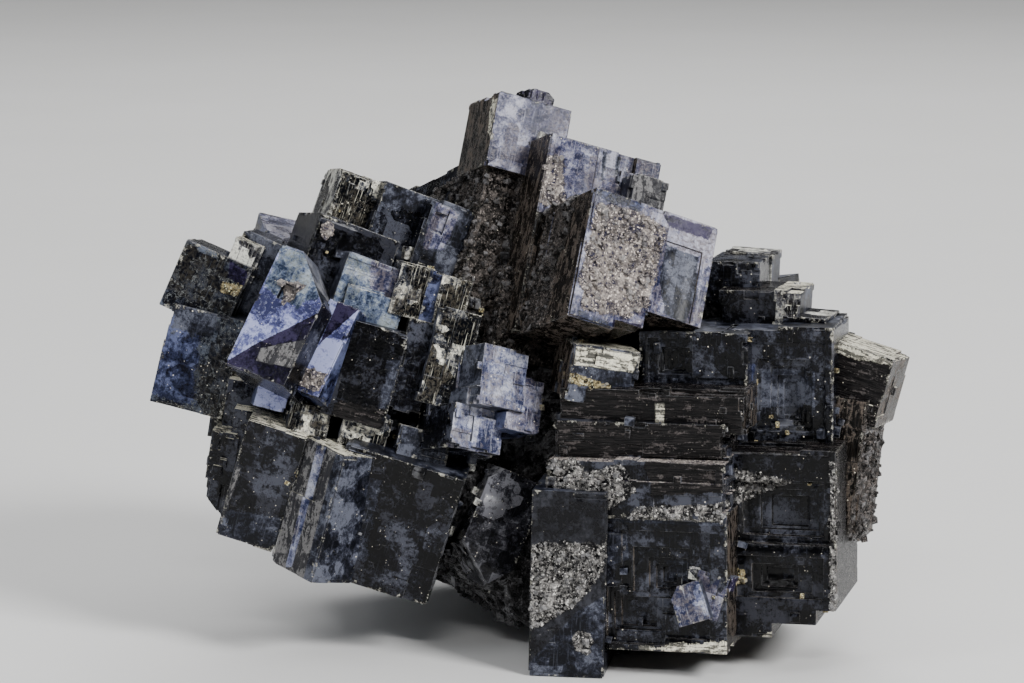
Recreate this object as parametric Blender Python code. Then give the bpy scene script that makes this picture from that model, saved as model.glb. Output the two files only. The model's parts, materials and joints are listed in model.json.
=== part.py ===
"""Magnetite specimen: a cluster of intergrown cubic crystals on massive magnetite.

Every crystal is a stack of square-edged growth blocks laid out in its own turned
axes.  It is placed by its front, upper, left corner, and its blocks run right (x),
back (y) and down from there.  Sizes and places are in millimetres.

A crystal listed earlier grows through the ones after it: each later crystal, and
the massive magnetite last of all, is cut back to leave a hairline gap around it.
"""

import math

import bmesh
import bpy
from mathutils import Euler, Matrix, Vector

MM = 0.001
GAP = 0.3
EDGE_WEAR = 0.14
CUT_REACH = 60.0
CENTRING = Vector((-0.456, -2.336, 0.0))  # puts the middle of the overall box over the origin

# Turns of the groups of parallel crystals, in degrees about X, Y and Z.
UPPER = (-20, 20, 20)
SUMMIT = (-16, 17, 18)
MIDDLE = (-14, 17, 32)
COLUMNS = (-8, 16, 6)
FAR_LEFT = (-8, 23, -8)
LAVENDER = (-30, 14, -26)
PANE = (-8, 22, 12)
LOWER_LEFT = (5, 17, -4)
RIGHT = (-2, -1, -14)
RIGHT_STEPS = (-2, 2, -16)
BACK_LEFT = (8, 14, 12)
BACK_RIGHT = (-4, -8, -24)

# Looks: base colour, roughness.
BLACK = ((0.018, 0.018, 0.024), 0.22)
BLUE = ((0.040, 0.046, 0.090), 0.24)
LILAC = ((0.230, 0.240, 0.360), 0.34)
PALE = ((0.330, 0.330, 0.350), 0.36)
DRUSE = ((0.330, 0.290, 0.250), 0.55)
BROWN = ((0.050, 0.040, 0.034), 0.34)
GLASSY = ((0.110, 0.110, 0.125), 0.12)
MASSIVE = ((0.022, 0.021, 0.024), 0.62)


def slab(width, depth, height, x=0.0, y=0.0, down=0.0):
    """A growth block: x, y and down place its front, upper, left corner."""
    low = Vector((x, y, -down - height))
    high = Vector((x + width, y + depth, -down))
    return low, high


# name, look, turn, corner (x, y, z), blocks added, hollows cut
CRYSTALS = [
    ("drusy_crystal", DRUSE, UPPER, (5.3, -8.0, 38.9),
     [slab(11.3, 12, 9.6), slab(3.8, 6, 1.5, x=0.2, y=0.2, down=9.4),
      slab(4.4, 6, 3.2, x=7.2, y=-0.3, down=6.6)],
     [slab(3.0, 0.5, 4.2, x=6.4, y=-0.2, down=2.0), slab(5.4, 14, 3.0, x=6.5, y=-0.7, down=8.6)]),
    ("upper_crystal", LILAC, SUMMIT, (2.5, 1.0, 42.1),
     [slab(9.2, 15, 16.5), slab(3.2, 14, 4.0, x=0.9, y=-0.4, down=0.8)],
     [slab(2.6, 1.4, 2.2, x=7.2, y=-0.6, down=-0.6)]),
    ("crown_crystal", LILAC, SUMMIT, (-1.2, 5.0, 45.1),
     [slab(5.7, 7, 6.5), slab(2.2, 4.4, 5.2, x=-1.0, y=1.6, down=0.9)],
     []),
    ("crown_bud", BLUE, SUMMIT, (0.4, 7.5, 45.4),
     [slab(2.4, 3, 3)],
     []),
    ("upper_step", LILAC, SUMMIT, (8.9, 0.2, 39.1),
     [slab(3.4, 6, 5)],
     []),
    ("ledge_crystal", PALE, (-2, 10, 10), (3.9, -10.0, 26.5),
     [slab(5.6, 6, 1.7), slab(5.0, 6, 2.6, x=0.5, y=0.5, down=1.6)],
     []),
    ("shoulder_crystal", BROWN, UPPER, (-2.0, 4.0, 39.0),
     [slab(5, 12, 14), slab(3.0, 8, 6, x=-1.4, y=2.4, down=3.2)],
     []),
    ("lower_shoulder", BROWN, UPPER, (-1.7, -1.5, 31.7),
     [slab(6, 10, 7)],
     []),
    ("middle_crystal", LILAC, MIDDLE, (-3.7, -9.0, 26.4),
     [slab(4.6, 6, 4.6), slab(2.0, 5, 2.2, x=2.8, y=-0.5, down=2.8)],
     []),
    ("middle_low_crystal", LILAC, MIDDLE, (-5.5, -10.0, 21.9),
     [slab(3.3, 5, 3.8), slab(4.6, 5, 1.6, x=0.2, y=0.5, down=2.1)],
     []),
    ("middle_side_crystal", BLUE, MIDDLE, (-1.1, -8.0, 23.8),
     [slab(3.4, 5, 4.6)],
     []),
    ("column_left", PALE, COLUMNS, (-9.6, -4.5, 32.3),
     [slab(1.9, 5, 4.4)],
     []),
    ("column_centre", BLUE, COLUMNS, (-7.7, -4.7, 31.7),
     [slab(1.2, 5, 4.2)],
     []),
    ("column_right", LILAC, COLUMNS, (-6.2, -5.0, 31.2),
     [slab(1.6, 5, 4.4)],
     []),
    ("pillar_right", BLACK, COLUMNS, (-6.3, -6.8, 29.0),
     [slab(3.0, 6, 4.0), slab(2.4, 6, 3.6, x=0.2, y=0.5, down=3.9)],
     []),
    ("pillar_left", BLACK, COLUMNS, (-9.3, -6.0, 27.9),
     [slab(2.3, 6, 3.6), slab(1.9, 6, 3.6, x=0.2, y=0.4, down=3.5)],
     []),
    ("far_left_cube", BLACK, FAR_LEFT, (-28.0, 0.0, 33.5),
     [slab(5.5, 6, 5.4)],
     []),
    ("left_low_crystal", BLUE, (-6, 13, -8), (-29.2, -1.0, 28.3),
     [slab(6.2, 8, 5.2), slab(5.4, 8, 3.4, x=0.1, y=0.6, down=5.0)],
     []),
    ("lavender_crystal", LILAC, LAVENDER, (-19.7, -5.0, 33.9),
     [slab(5.6, 5, 11)],
     [slab(1.4, 0.7, 1.3, x=1.5, y=-0.2, down=3.2)]),
    ("strip_crystal", LILAC, LAVENDER, (-16.2, -6.0, 29.1),
     [slab(1.3, 4, 7.5), slab(1.2, 3, 5.4, x=1.2, y=0.5, down=0.5)],
     []),
    ("blue_crystal", BLUE, FAR_LEFT, (-24.0, 0.5, 33.7),
     [slab(2.4, 5, 5)],
     []),
    ("back_left_crystal", PALE, FAR_LEFT, (-23.4, 3.0, 33.9),
     [slab(5, 7, 7)],
     []),
    ("small_blue_cube", LILAC, COLUMNS, (-21.4, -6.5, 23.5),
     [slab(2.6, 4, 2.8)],
     []),
    ("wedge_crystal", LILAC, PANE, (-14.1, -4.0, 32.5),
     [slab(4.8, 6, 5)],
     []),
    ("pale_crystal", PALE, COLUMNS, (-14.4, -5.2, 30.6),
     [slab(4.4, 5, 4)],
     []),
    ("pane_crystal", BLACK, PANE, (-16.7, -2.0, 36.0),
     [slab(6.6, 9, 9)],
     []),
    ("black_cube", BLACK, (-6, 15, -3), (-14.6, -7.0, 28.1),
     [slab(5.3, 7, 7.6)],
     []),
    ("speckled_crystal", PALE, PANE, (-15.1, 4.0, 38.9),
     [slab(5, 7, 8)],
     []),
    ("grey_crystal_left", BLACK, PANE, (-11.6, 3.0, 38.0),
     [slab(5, 7, 8)],
     []),
    ("grey_crystal_right", BLUE, PANE, (-7.6, 1.5, 36.9),
     [slab(4, 7, 7)],
     []),
    ("facet_crystal", LILAC, (-11, 10, -46), (-18.0, -7.8, 18.4),
     [slab(5.0, 4, 10.8)],
     []),
    ("left_block", BLACK, LOWER_LEFT, (-22.6, -8.0, 19.4),
     [slab(5.0, 9, 9.8)],
     []),
    ("right_block", BLACK, LOWER_LEFT, (-14.6, -9.0, 17.6),
     [slab(9.6, 10, 9.4), slab(8.2, 9, 1.6, x=0.3, y=0.7, down=9.2)],
     []),
    ("left_end_crystal", PALE, (5, 10, -4), (-25.8, -4.0, 18.2),
     [slab(3.4, 7, 7.4)],
     []),
    ("top_cube_left", PALE, COLUMNS, (-19.0, -7.0, 21.5),
     [slab(3.6, 5, 2.6)],
     []),
    ("top_cube_centre", BLACK, COLUMNS, (-14.7, -7.0, 20.1),
     [slab(4.0, 5, 2.6)],
     []),
    ("top_cube_right", BLUE, COLUMNS, (-10.2, -7.5, 18.9),
     [slab(4.4, 5, 2.6)],
     []),
    ("clear_crystal", GLASSY, (-8, 25, 12), (-2.7, -7.0, 15.5),
     [slab(4.4, 5, 9)],
     []),
    ("perched_cube_left", PALE, (-10, -20, -14), (11.3, -15.6, 7.6),
     [slab(2.6, 2.6, 3.2)],
     []),
    ("perched_cube_right", PALE, (-6, 14, -20), (14.3, -14.7, 8.4),
     [slab(2.1, 2.4, 2.6)],
     []),
    ("corner_column", BROWN, (-2, 1, -8), (0.6, -13.0, 14.7),
     [slab(5.6, 7, 14.9), slab(5.2, 6, 9.0, x=0.2, y=-0.4, down=3.0)],
     []),
    ("hopper_lower", BLACK, RIGHT, (6.0, -13.0, 13.1),
     [slab(9.8, 9, 11)],
     [slab(6.6, 0.9, 8.0, x=1.8, y=-0.2, down=1.5), slab(5.0, 1.7, 6.2, x=2.7, y=-0.2, down=2.6),
      slab(2.4, 2.5, 2.8, x=3.4, y=-0.2, down=3.8)]),
    ("hopper_right", BLACK, RIGHT, (15.5, -11.0, 17.6),
     [slab(9.6, 12, 12.6), slab(4.4, 9, 2.5, x=0.2, y=0.6, down=12.4),
      slab(7.8, 9, 1.3, x=0.5, y=0.3, down=12.3)],
     [slab(8.6, 1.1, 5.2, x=0.6, y=-0.2, down=2.2), slab(5.6, 2.2, 3.8, x=1.4, y=-0.2, down=3.0),
      slab(6.6, 1.0, 3.0, x=2.2, y=-0.2, down=8.4)]),
    ("right_corner", BROWN, (-4, 14, -22), (24.6, -6.0, 26.2),
     [slab(5.8, 6, 5.4)],
     []),
    ("right_slab", BROWN, (-2, 5, -24), (25.2, -7.5, 21.6),
     [slab(2.6, 6, 12), slab(1.6, 5, 5.2, x=0.2, y=0.4, down=11.8)],
     []),
    ("terrace_right", BLUE, RIGHT, (17.2, -7.0, 26.9),
     [slab(7.8, 10, 10)],
     [slab(5.6, 0.8, 6.6, x=1.3, y=-0.2, down=1.6), slab(3.6, 1.6, 4.6, x=2.2, y=-0.2, down=2.4)]),
    ("centre_block", BLACK, RIGHT, (9.7, -7.0, 27.1),
     [slab(8.4, 10, 6)],
     [slab(2.8, 1.4, 2.6, x=0.9, y=-0.2, down=1.0)]),
    ("band_upper", BROWN, RIGHT, (2.8, -9.5, 22.8),
     [slab(15, 9, 3)],
     []),
    ("band_middle", BLACK, RIGHT, (2.2, -10.5, 20.3),
     [slab(14, 9, 3.4)],
     []),
    ("band_lower", DRUSE, RIGHT, (1.6, -12.0, 17.8),
     [slab(14.6, 9, 5)],
     []),
    ("stack_top", BLACK, RIGHT, (15.5, 0.0, 31.6),
     [slab(4.0, 7, 3)],
     []),
    ("stack_middle", BLACK, RIGHT, (15.9, -2.5, 29.6),
     [slab(4.6, 7, 4)],
     []),
    ("bright_step", PALE, RIGHT_STEPS, (19.0, -3.5, 30.0),
     [slab(3.6, 6, 4)],
     []),
    ("edge_step", BLACK, RIGHT_STEPS, (21.0, -5.0, 27.9),
     [slab(3.6, 6, 4)],
     []),
    ("back_right_crystal", PALE, RIGHT_STEPS, (17.3, 5.0, 31.7),
     [slab(3.2, 4, 7)],
     []),
    ("rear_upper_crystal", BLACK, UPPER, (-4.5, 8.5, 38.0),
     [slab(11, 11, 10), slab(5, 8, 4, x=3, y=4.2, down=-0.8), slab(4, 6, 5, x=-0.9, y=4.0, down=3.4)],
     []),
    ("rear_left_crystal", BLUE, BACK_LEFT, (-20.0, 5.0, 31.5),
     [slab(12, 12, 11), slab(6, 9, 6, x=-1.2, y=1.5, down=6.0), slab(5, 6, 4, x=5.2, y=6.6, down=2.4)],
     []),
    ("rear_right_crystal", BLACK, BACK_RIGHT, (8.5, 7.0, 27.0),
     [slab(12, 10, 12), slab(6, 8, 6, x=2.0, y=2.6, down=-1.0), slab(6, 7, 5, x=4.8, y=3.6, down=7.8)],
     []),
    ("rear_low_crystal", BROWN, BACK_LEFT, (-11.5, 5.5, 18.5),
     [slab(13, 11, 14), slab(7, 8, 6, x=-1.0, y=1.4, down=2.2), slab(5, 6, 5, x=5.4, y=5.6, down=4.6)],
     []),
]

# Massive magnetite: the corner points of its craggy outline, at rising levels.
MASSIVE_LEVELS = {
    0.0: [(-6, 12), (1, -3), (4, -9), (13, -8), (20, 7), (9, 15)],
    7.0: [(-14, 3), (-15, 9), (-4, -4), (22, -6), (25, 7), (10, 17), (-9, 15)],
    17.0: [(-23.5, 0), (-22, 9)],
    22.0: [(-26, 3), (-24, 9), (-12, -4), (24, -2), (23, 9), (6, 17), (-14, 15)],
    33.0: [(-19, 6), (-16, 11), (4, 0), (12, 1), (15, 7), (4, 15)],
    38.0: [(0, 8), (7, 7), (6, 13)],
}
STANDS_ON_BASE = ("corner_column", "hopper_lower", "rear_low_crystal")


def clear_scene():
    for existing in list(bpy.data.objects):
        bpy.data.objects.remove(existing, do_unlink=True)


def look_material(name, look):
    colour, roughness = look
    material = bpy.data.materials.new(name)
    material.use_nodes = True
    shader = material.node_tree.nodes["Principled BSDF"]
    shader.inputs["Base Color"].default_value = (*colour, 1.0)
    shader.inputs["Roughness"].default_value = roughness
    shader.inputs["Metallic"].default_value = 0.15
    return material


def crystal_axes(turn, corner):
    angles = [math.radians(angle) for angle in turn]
    place = (Vector(corner) + CENTRING) * MM
    return Matrix.Translation(place) @ Euler(angles, "XYZ").to_matrix().to_4x4()


def box_object(name, block, axes, grow=0.0, wear=0.0):
    """One block as an object in the crystal's axes, grown all round or with worn edges."""
    low, high = block
    reach = Vector((grow, grow, grow))
    low = (low - reach) * MM
    high = (high + reach) * MM
    bm = bmesh.new()
    bmesh.ops.create_cube(bm, size=1.0)
    for vertex in bm.verts:
        share = vertex.co + Vector((0.5, 0.5, 0.5))
        vertex.co = Vector([low[i] + share[i] * (high[i] - low[i]) for i in range(3)])
    if wear:
        bmesh.ops.bevel(bm, geom=list(bm.edges), offset=wear * MM, segments=1, affect="EDGES")
    bmesh.ops.recalc_face_normals(bm, faces=list(bm.faces))
    mesh = bpy.data.meshes.new(name)
    bm.to_mesh(mesh)
    bm.free()
    box = bpy.data.objects.new(name, mesh)
    bpy.context.scene.collection.objects.link(box)
    box.matrix_world = axes
    return box


def boolean(target, tools, operation):
    """Combine target with all the tools at once, keep the result as its mesh, drop the tools."""
    if not tools:
        return
    group = bpy.data.collections.new(operation)
    bpy.context.scene.collection.children.link(group)
    for tool in tools:
        tool.hide_render = True
        tool.display_type = "WIRE"
        group.objects.link(tool)
    modifier = target.modifiers.new(operation.lower(), "BOOLEAN")
    modifier.operation = operation
    modifier.solver = "EXACT"
    modifier.operand_type = "COLLECTION"
    modifier.collection = group
    bpy.context.view_layer.update()
    depsgraph = bpy.context.evaluated_depsgraph_get()
    result = bpy.data.meshes.new_from_object(target.evaluated_get(depsgraph))
    target.modifiers.clear()
    target.data = result
    for tool in tools:
        bpy.data.objects.remove(tool, do_unlink=True)
    bpy.data.collections.remove(group)


def world_bounds(thing):
    points = [thing.matrix_world @ vertex.co for vertex in thing.data.vertices]
    low = Vector([min(point[i] for point in points) for i in range(3)])
    high = Vector([max(point[i] for point in points) for i in range(3)])
    return low, high


def bounds_meet(first, second):
    return all(first[0][i] < second[1][i] and second[0][i] < first[1][i] for i in range(3))


def body_volume(faces):
    """Volume inside a closed set of faces, from the tetrahedra to the origin."""
    total = 0.0
    for face in faces:
        corners = [vertex.co for vertex in face.verts]
        for i in range(1, len(corners) - 1):
            total += corners[0].dot(corners[i].cross(corners[i + 1])) / 6.0
    return total


def keep_main_body(thing):
    """A cut can leave loose chips beside the crystal: only the largest body stays."""
    bm = bmesh.new()
    bm.from_mesh(thing.data)
    bodies = []
    left = set(bm.faces)
    while left:
        body = set()
        front = [left.pop()]
        while front:
            face = front.pop()
            body.add(face)
            for edge in face.edges:
                for other in edge.link_faces:
                    if other in left:
                        left.remove(other)
                        front.append(other)
        bodies.append(body)
    bodies.sort(key=body_volume)
    for body in bodies[:-1]:
        bmesh.ops.delete(bm, geom=list(body), context="FACES")
    bmesh.ops.triangulate(bm, faces=list(bm.faces))
    bm.to_mesh(thing.data)
    bm.free()


def cut_by_neighbours(thing, finished):
    """Take the finished crystals that reach this one out of it, with the gap around them."""
    own = world_bounds(thing)
    tools = []
    for blocks, axes in finished:
        for block in blocks:
            tool = box_object("neighbour", block, axes, grow=GAP)
            if bounds_meet(own, world_bounds(tool)):
                tools.append(tool)
            else:
                bpy.data.objects.remove(tool, do_unlink=True)
    boolean(thing, tools, "DIFFERENCE")


def cut_flat_at_base(thing):
    below = (Vector((-CUT_REACH, -CUT_REACH, -CUT_REACH)), Vector((CUT_REACH, CUT_REACH, 0.0)))
    boolean(thing, [box_object("base_cut", below, Matrix.Identity(4))], "DIFFERENCE")


def grow_crystal(name, look, turn, corner, blocks, hollows, finished):
    axes = crystal_axes(turn, corner)
    crystal = box_object(name, blocks[0], axes, wear=EDGE_WEAR)
    steps = [box_object("step", block, axes, wear=EDGE_WEAR) for block in blocks[1:]]
    boolean(crystal, steps, "UNION")
    pits = [box_object("pit", hollow, axes) for hollow in hollows]
    boolean(crystal, pits, "DIFFERENCE")
    cut_by_neighbours(crystal, finished)
    if name in STANDS_ON_BASE:
        cut_flat_at_base(crystal)
    keep_main_body(crystal)
    crystal.name = name
    crystal.data.name = name
    crystal.data.materials.clear()
    crystal.data.materials.append(look_material(name, look))
    finished.append((blocks, axes))


def massive_magnetite(finished):
    bm = bmesh.new()
    for level, outline in MASSIVE_LEVELS.items():
        for x, y in outline:
            bm.verts.new((Vector((x, y, level)) + CENTRING) * MM)
    hull = bmesh.ops.convex_hull(bm, input=list(bm.verts))
    bmesh.ops.delete(bm, geom=hull["geom_interior"], context="VERTS")
    bmesh.ops.recalc_face_normals(bm, faces=list(bm.faces))
    mesh = bpy.data.meshes.new("massive_magnetite")
    bm.to_mesh(mesh)
    bm.free()
    massive = bpy.data.objects.new("massive_magnetite", mesh)
    bpy.context.scene.collection.objects.link(massive)
    cut_by_neighbours(massive, finished)
    keep_main_body(massive)
    massive.data.materials.append(look_material("massive_magnetite", MASSIVE))


def main():
    clear_scene()
    finished = []
    for name, look, turn, corner, blocks, hollows in CRYSTALS:
        grow_crystal(name, look, turn, corner, blocks, hollows, finished)
    massive_magnetite(finished)


main()
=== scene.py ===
"""Magnetite specimen: the look of the crystal cluster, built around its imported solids.

Each crystal is rebuilt from its CAD solid's own box, measured along the crystal's axes,
as a stack of growth steps: terraces, hollow frames, notches and small parallel crystals.
"""

import math

import bmesh
import bpy
import numpy as np
from mathutils import Euler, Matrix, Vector, noise
from mathutils.bvhtree import BVHTree
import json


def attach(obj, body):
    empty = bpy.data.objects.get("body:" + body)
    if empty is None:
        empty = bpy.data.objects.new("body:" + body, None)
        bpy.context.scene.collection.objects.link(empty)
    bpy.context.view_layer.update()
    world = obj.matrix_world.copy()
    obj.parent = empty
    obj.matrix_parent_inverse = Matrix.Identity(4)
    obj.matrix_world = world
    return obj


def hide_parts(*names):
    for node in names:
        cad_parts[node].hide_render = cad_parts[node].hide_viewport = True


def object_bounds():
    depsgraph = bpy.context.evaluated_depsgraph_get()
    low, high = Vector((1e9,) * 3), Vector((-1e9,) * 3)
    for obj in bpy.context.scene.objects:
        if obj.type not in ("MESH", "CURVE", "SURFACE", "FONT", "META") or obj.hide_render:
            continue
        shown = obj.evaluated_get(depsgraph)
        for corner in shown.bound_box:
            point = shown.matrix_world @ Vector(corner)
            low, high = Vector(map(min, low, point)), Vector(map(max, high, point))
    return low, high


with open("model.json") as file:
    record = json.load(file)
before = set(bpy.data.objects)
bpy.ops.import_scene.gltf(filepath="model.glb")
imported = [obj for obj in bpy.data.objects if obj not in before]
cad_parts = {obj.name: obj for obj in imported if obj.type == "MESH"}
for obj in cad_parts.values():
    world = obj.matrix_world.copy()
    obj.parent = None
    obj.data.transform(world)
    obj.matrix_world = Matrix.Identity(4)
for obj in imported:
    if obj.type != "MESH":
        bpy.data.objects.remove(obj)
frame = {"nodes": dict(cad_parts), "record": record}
CAD_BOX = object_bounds()
NODES = frame["nodes"]
MM = 0.001

GAP = 0.30          # the hairline gap between neighbouring CAD solids, mm
CLOSE = 0.5         # how far a crystal grows across that gap into its neighbour, mm
LATTICE = 0.10      # growth steps sit on this lattice, mm
BEVEL = 0.032       # worn edge of every growth step, mm
TOUCH = 0.1         # how near a probe a neighbour has to be, mm
PROBES = (0.15, 0.38, 0.62, 0.85)   # where a side is probed for neighbours, as shares
CONTACT = 0.55      # the share of a side's probes that have to meet a neighbour
ROOT = 0.4          # how far a plate of growth reaches into the crystal's body, mm
ACROSS = ((1, 2), (0, 2), (0, 1))   # the two axes that lie across each axis


def rows(table):
    """The words of each line of a text table."""
    return [line.split() for line in table.strip().splitlines()]


def turned(turn):
    return Euler([math.radians(angle) for angle in turn], "XYZ").to_matrix()


def add_object(name, data):
    made = bpy.data.objects.new(name, data)
    bpy.context.scene.collection.objects.link(made)
    return made


# ---------------------------------------------------------------- growth blocks

class Crystal:
    """A crystal as filled and emptied boxes in its own axes, in mm."""

    def __init__(self, name, seed):
        self.name = name
        self.rng = np.random.default_rng(seed)
        self.turn = turned(TURN_OF[name])
        own = np.array([v.co for v in NODES[name].data.vertices], float) / MM
        local = own @ np.array(self.turn)
        self.low = local.min(0)
        self.high = local.max(0)
        self.close_contacts()
        self.steps = []

    def world(self, point):
        return self.turn @ Vector(point) * MM

    def close_contacts(self):
        """Grow each side that only faces a neighbour across the hairline gap."""
        low, high, span = self.low.copy(), self.high.copy(), self.size()
        for axis, across in enumerate(ACROSS):
            for side in (0, 1):
                hits = []
                for u in PROBES:
                    for v in PROBES:
                        point = low.copy()
                        point[across[0]] += u * span[across[0]]
                        point[across[1]] += v * span[across[1]]
                        point[axis] = high[axis] + GAP if side else low[axis] - GAP
                        near = ALL_SOLIDS.find_nearest(self.world(point), TOUCH * MM)
                        hits.append(near[0] is not None)
                if sum(hits) > CONTACT * len(hits):
                    if side:
                        self.high[axis] += CLOSE
                    else:
                        self.low[axis] -= CLOSE

    def size(self):
        return self.high - self.low

    def part(self, fill, low, high):
        """A box given as shares of the crystal: x from the left, y from the front, z from the top."""
        a = self.low + np.array([low[0], low[1], 1 - high[2]]) * self.size()
        b = self.low + np.array([high[0], high[1], 1 - low[2]]) * self.size()
        self.steps.append((fill, tuple(a), tuple(b)))


def grid_mesh(steps):
    """One closed surface of square steps, from boxes filled and emptied in turn."""
    fills, lows, highs = zip(*steps)
    lows = np.round(np.array(lows) / LATTICE)
    highs = np.round(np.array(highs) / LATTICE)
    planes = [np.unique(np.concatenate([lows[:, a], highs[:, a]])) for a in range(3)]
    cells = np.zeros([len(p) - 1 for p in planes], bool)
    for fill, low, high in zip(fills, lows, highs):
        ends = [np.searchsorted(planes[a], (low[a], high[a])) for a in range(3)]
        cells[tuple(slice(first, last) for first, last in ends)] = fill
    for _ in range(3):
        cells = fill_diagonals(cells)
    full = np.pad(cells, 1)
    shape = tuple(n + 1 for n in cells.shape)
    quads = []
    for axis in range(3):
        ahead = [slice(1, -1)] * 3
        behind = [slice(1, -1)] * 3
        ahead[axis] = slice(1, None)
        behind[axis] = slice(None, -1)
        a = full[tuple(behind)]
        b = full[tuple(ahead)]
        u, v = [(1, 2), (2, 0), (0, 1)][axis]
        for inside, outside, flip in ((a, b, False), (b, a, True)):
            where = np.argwhere(inside & ~outside)
            corners = []
            for du, dv in ((0, 0), (1, 0), (1, 1), (0, 1)):
                c = where.copy()
                c[:, u] += du
                c[:, v] += dv
                corners.append(np.ravel_multi_index(c.T, shape))
            quad = np.stack(corners, 1)
            quads.append(quad[:, ::-1] if flip else quad)
    quads = np.concatenate(quads)
    used, index = np.unique(quads, return_inverse=True)
    index = index.reshape(quads.shape)
    at = np.unravel_index(used, shape)
    points = np.stack([planes[a][at[a]] for a in range(3)], 1) * LATTICE
    return points, index


def fill_diagonals(cells):
    """Two cells that touch only along an edge get a third one, so the surface stays closed."""
    for u, v in ACROSS:
        quarters = []
        for corner in ((0, 0), (1, 0), (0, 1), (1, 1)):
            cut = [slice(None)] * 3
            cut[u], cut[v] = (slice(1, None) if ahead else slice(None, -1) for ahead in corner)
            quarters.append(cells[tuple(cut)])
        a, b, c, d = quarters
        b |= a & d & ~b & ~c
        a |= b & c & ~a & ~d
    return cells


def mesh_object(name, points, quads, matrix):
    mesh = bpy.data.meshes.new(name)
    mesh.vertices.add(len(points))
    mesh.vertices.foreach_set("co", (points * MM).astype(np.float32).ravel())
    mesh.loops.add(quads.size)
    mesh.loops.foreach_set("vertex_index", quads.astype(np.int32).ravel())
    mesh.polygons.add(len(quads))
    starts = np.arange(0, quads.size, quads.shape[1], dtype=np.int32)
    mesh.polygons.foreach_set("loop_start", starts)
    mesh.update(calc_edges=True)
    mesh.validate()
    piece = add_object(name, mesh)
    piece.matrix_world = matrix
    return piece


def bake_modifiers(piece):
    bpy.context.view_layer.update()
    depsgraph = bpy.context.evaluated_depsgraph_get()
    mesh = bpy.data.meshes.new_from_object(piece.evaluated_get(depsgraph))
    piece.modifiers.clear()
    piece.data = mesh


def wear_edges(piece):
    bevel = piece.modifiers.new("wear", "BEVEL")
    bevel.width = BEVEL * MM
    bevel.segments = 1
    bevel.limit_method = "ANGLE"
    bevel.angle_limit = math.radians(50)
    bevel.use_clamp_overlap = True
    bake_modifiers(piece)


# ---------------------------------------------------------------- growth habits

FACES = {
    "front": (1, 0), "back": (1, 1), "left": (0, 0),
    "right": (0, 1), "top": (2, 1), "bottom": (2, 0),
}
LEAST_SHARE = 0.12   # a terrace spans at least this share of its face
PLATES_SHARE = 0.62  # this share of the terraces are plates, and the others are losses
BROAD_MARGIN = 0.04  # the broad plate on a face stops short of its edges by up to this share
RING_STEP = 0.16     # each ring of a hollow is narrower by about this share
BUD_STANDS = 0.2     # how far a bud may stand out of its face, mm


def sheet_step(crystal, face, fill, u, v, near, far):
    """A box on a face: u and v are spans across it in mm, near and far are depths below it."""
    axis, side = FACES[face]
    ua, va = ACROSS[axis]
    low = np.zeros(3)
    high = np.zeros(3)
    low[ua], high[ua] = u
    low[va], high[va] = v
    if side:
        low[axis], high[axis] = crystal.high[axis] - far, crystal.high[axis] - near
    else:
        low[axis], high[axis] = crystal.low[axis] + near, crystal.low[axis] + far
    crystal.steps.append((fill, tuple(low), tuple(high)))


def terraces(crystal, face, count, relief, cover):
    """Low plates of growth and shallow losses on a face, each flush with two of its edges."""
    rng = crystal.rng
    axis = FACES[face][0]
    ua, va = ACROSS[axis]
    low, high = crystal.low, crystal.high
    span = high - low
    levels = max(2, int(round(relief / LATTICE)))
    for i in range(count):
        share = LEAST_SHARE + (cover - LEAST_SHARE) * rng.random(2) ** 1.3
        ends = []
        for k, a in enumerate((ua, va)):
            size = share[k] * span[a]
            start = low[a] if rng.random() < 0.5 else high[a] - size
            ends.append((start, start + size))
        near = LATTICE * rng.integers(0, levels)
        if rng.random() < PLATES_SHARE:
            sheet_step(crystal, face, True, ends[0], ends[1], near, relief + ROOT)
        else:
            sheet_step(crystal, face, False, ends[0], ends[1], -0.2, near + LATTICE)


def hopper(crystal, window, rings, depth):
    """Square frames on the front, one inside the other and each one deeper, as in a hopper crystal."""
    rng = crystal.rng
    ua, va = ACROSS[FACES["front"][0]]
    low, span = crystal.low, crystal.size()
    u0, u1, v0, v1 = window
    u = [low[ua] + u0 * span[ua], low[ua] + u1 * span[ua]]
    v = [low[va] + (1 - v1) * span[va], low[va] + (1 - v0) * span[va]]
    for ring in range(rings):
        sheet_step(crystal, "front", False, tuple(u), tuple(v), -0.3, depth * (ring + 1))
        for ends, wide in ((u, u[1] - u[0]), (v, v[1] - v[0])):
            ends[0] += wide * RING_STEP * rng.uniform(0.3, 1.6)
            ends[1] -= wide * RING_STEP * rng.uniform(0.3, 1.6)


def notches(crystal, count, size):
    """Square bites out of the crystal's edges and corners."""
    rng = crystal.rng
    for i in range(count):
        low, high = crystal.low - 0.5, crystal.high + 0.5
        free = rng.integers(0, 3) if rng.random() < 0.7 else -1
        for a in range(3):
            bite = rng.uniform(0.3, 1.0) * size
            if a == free:
                low[a] = crystal.low[a] + rng.random() * (crystal.size()[a] - 2 * bite)
                high[a] = low[a] + 2 * bite
            elif rng.random() < 0.5:
                high[a] = crystal.low[a] + bite * 0.6
            else:
                low[a] = crystal.high[a] - bite * 0.6
        crystal.steps.append((False, tuple(low), tuple(high)))


def buds(crystal, face, count, size):
    """Small parallel crystals that stand a little proud of a face."""
    rng = crystal.rng
    ua, va = ACROSS[FACES[face][0]]
    low, span = crystal.low, crystal.size()
    for i in range(count):
        wide = size * rng.uniform(0.35, 1.0)
        tall = size * rng.uniform(0.35, 1.0)
        u = low[ua] + rng.random() * (span[ua] - wide)
        v = low[va] + rng.random() * (span[va] - tall)
        out = LATTICE * rng.integers(0, int(BUD_STANDS / LATTICE) + 1)
        sheet_step(crystal, face, True, (u, u + wide), (v, v + tall), -out, 1.2)


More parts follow.
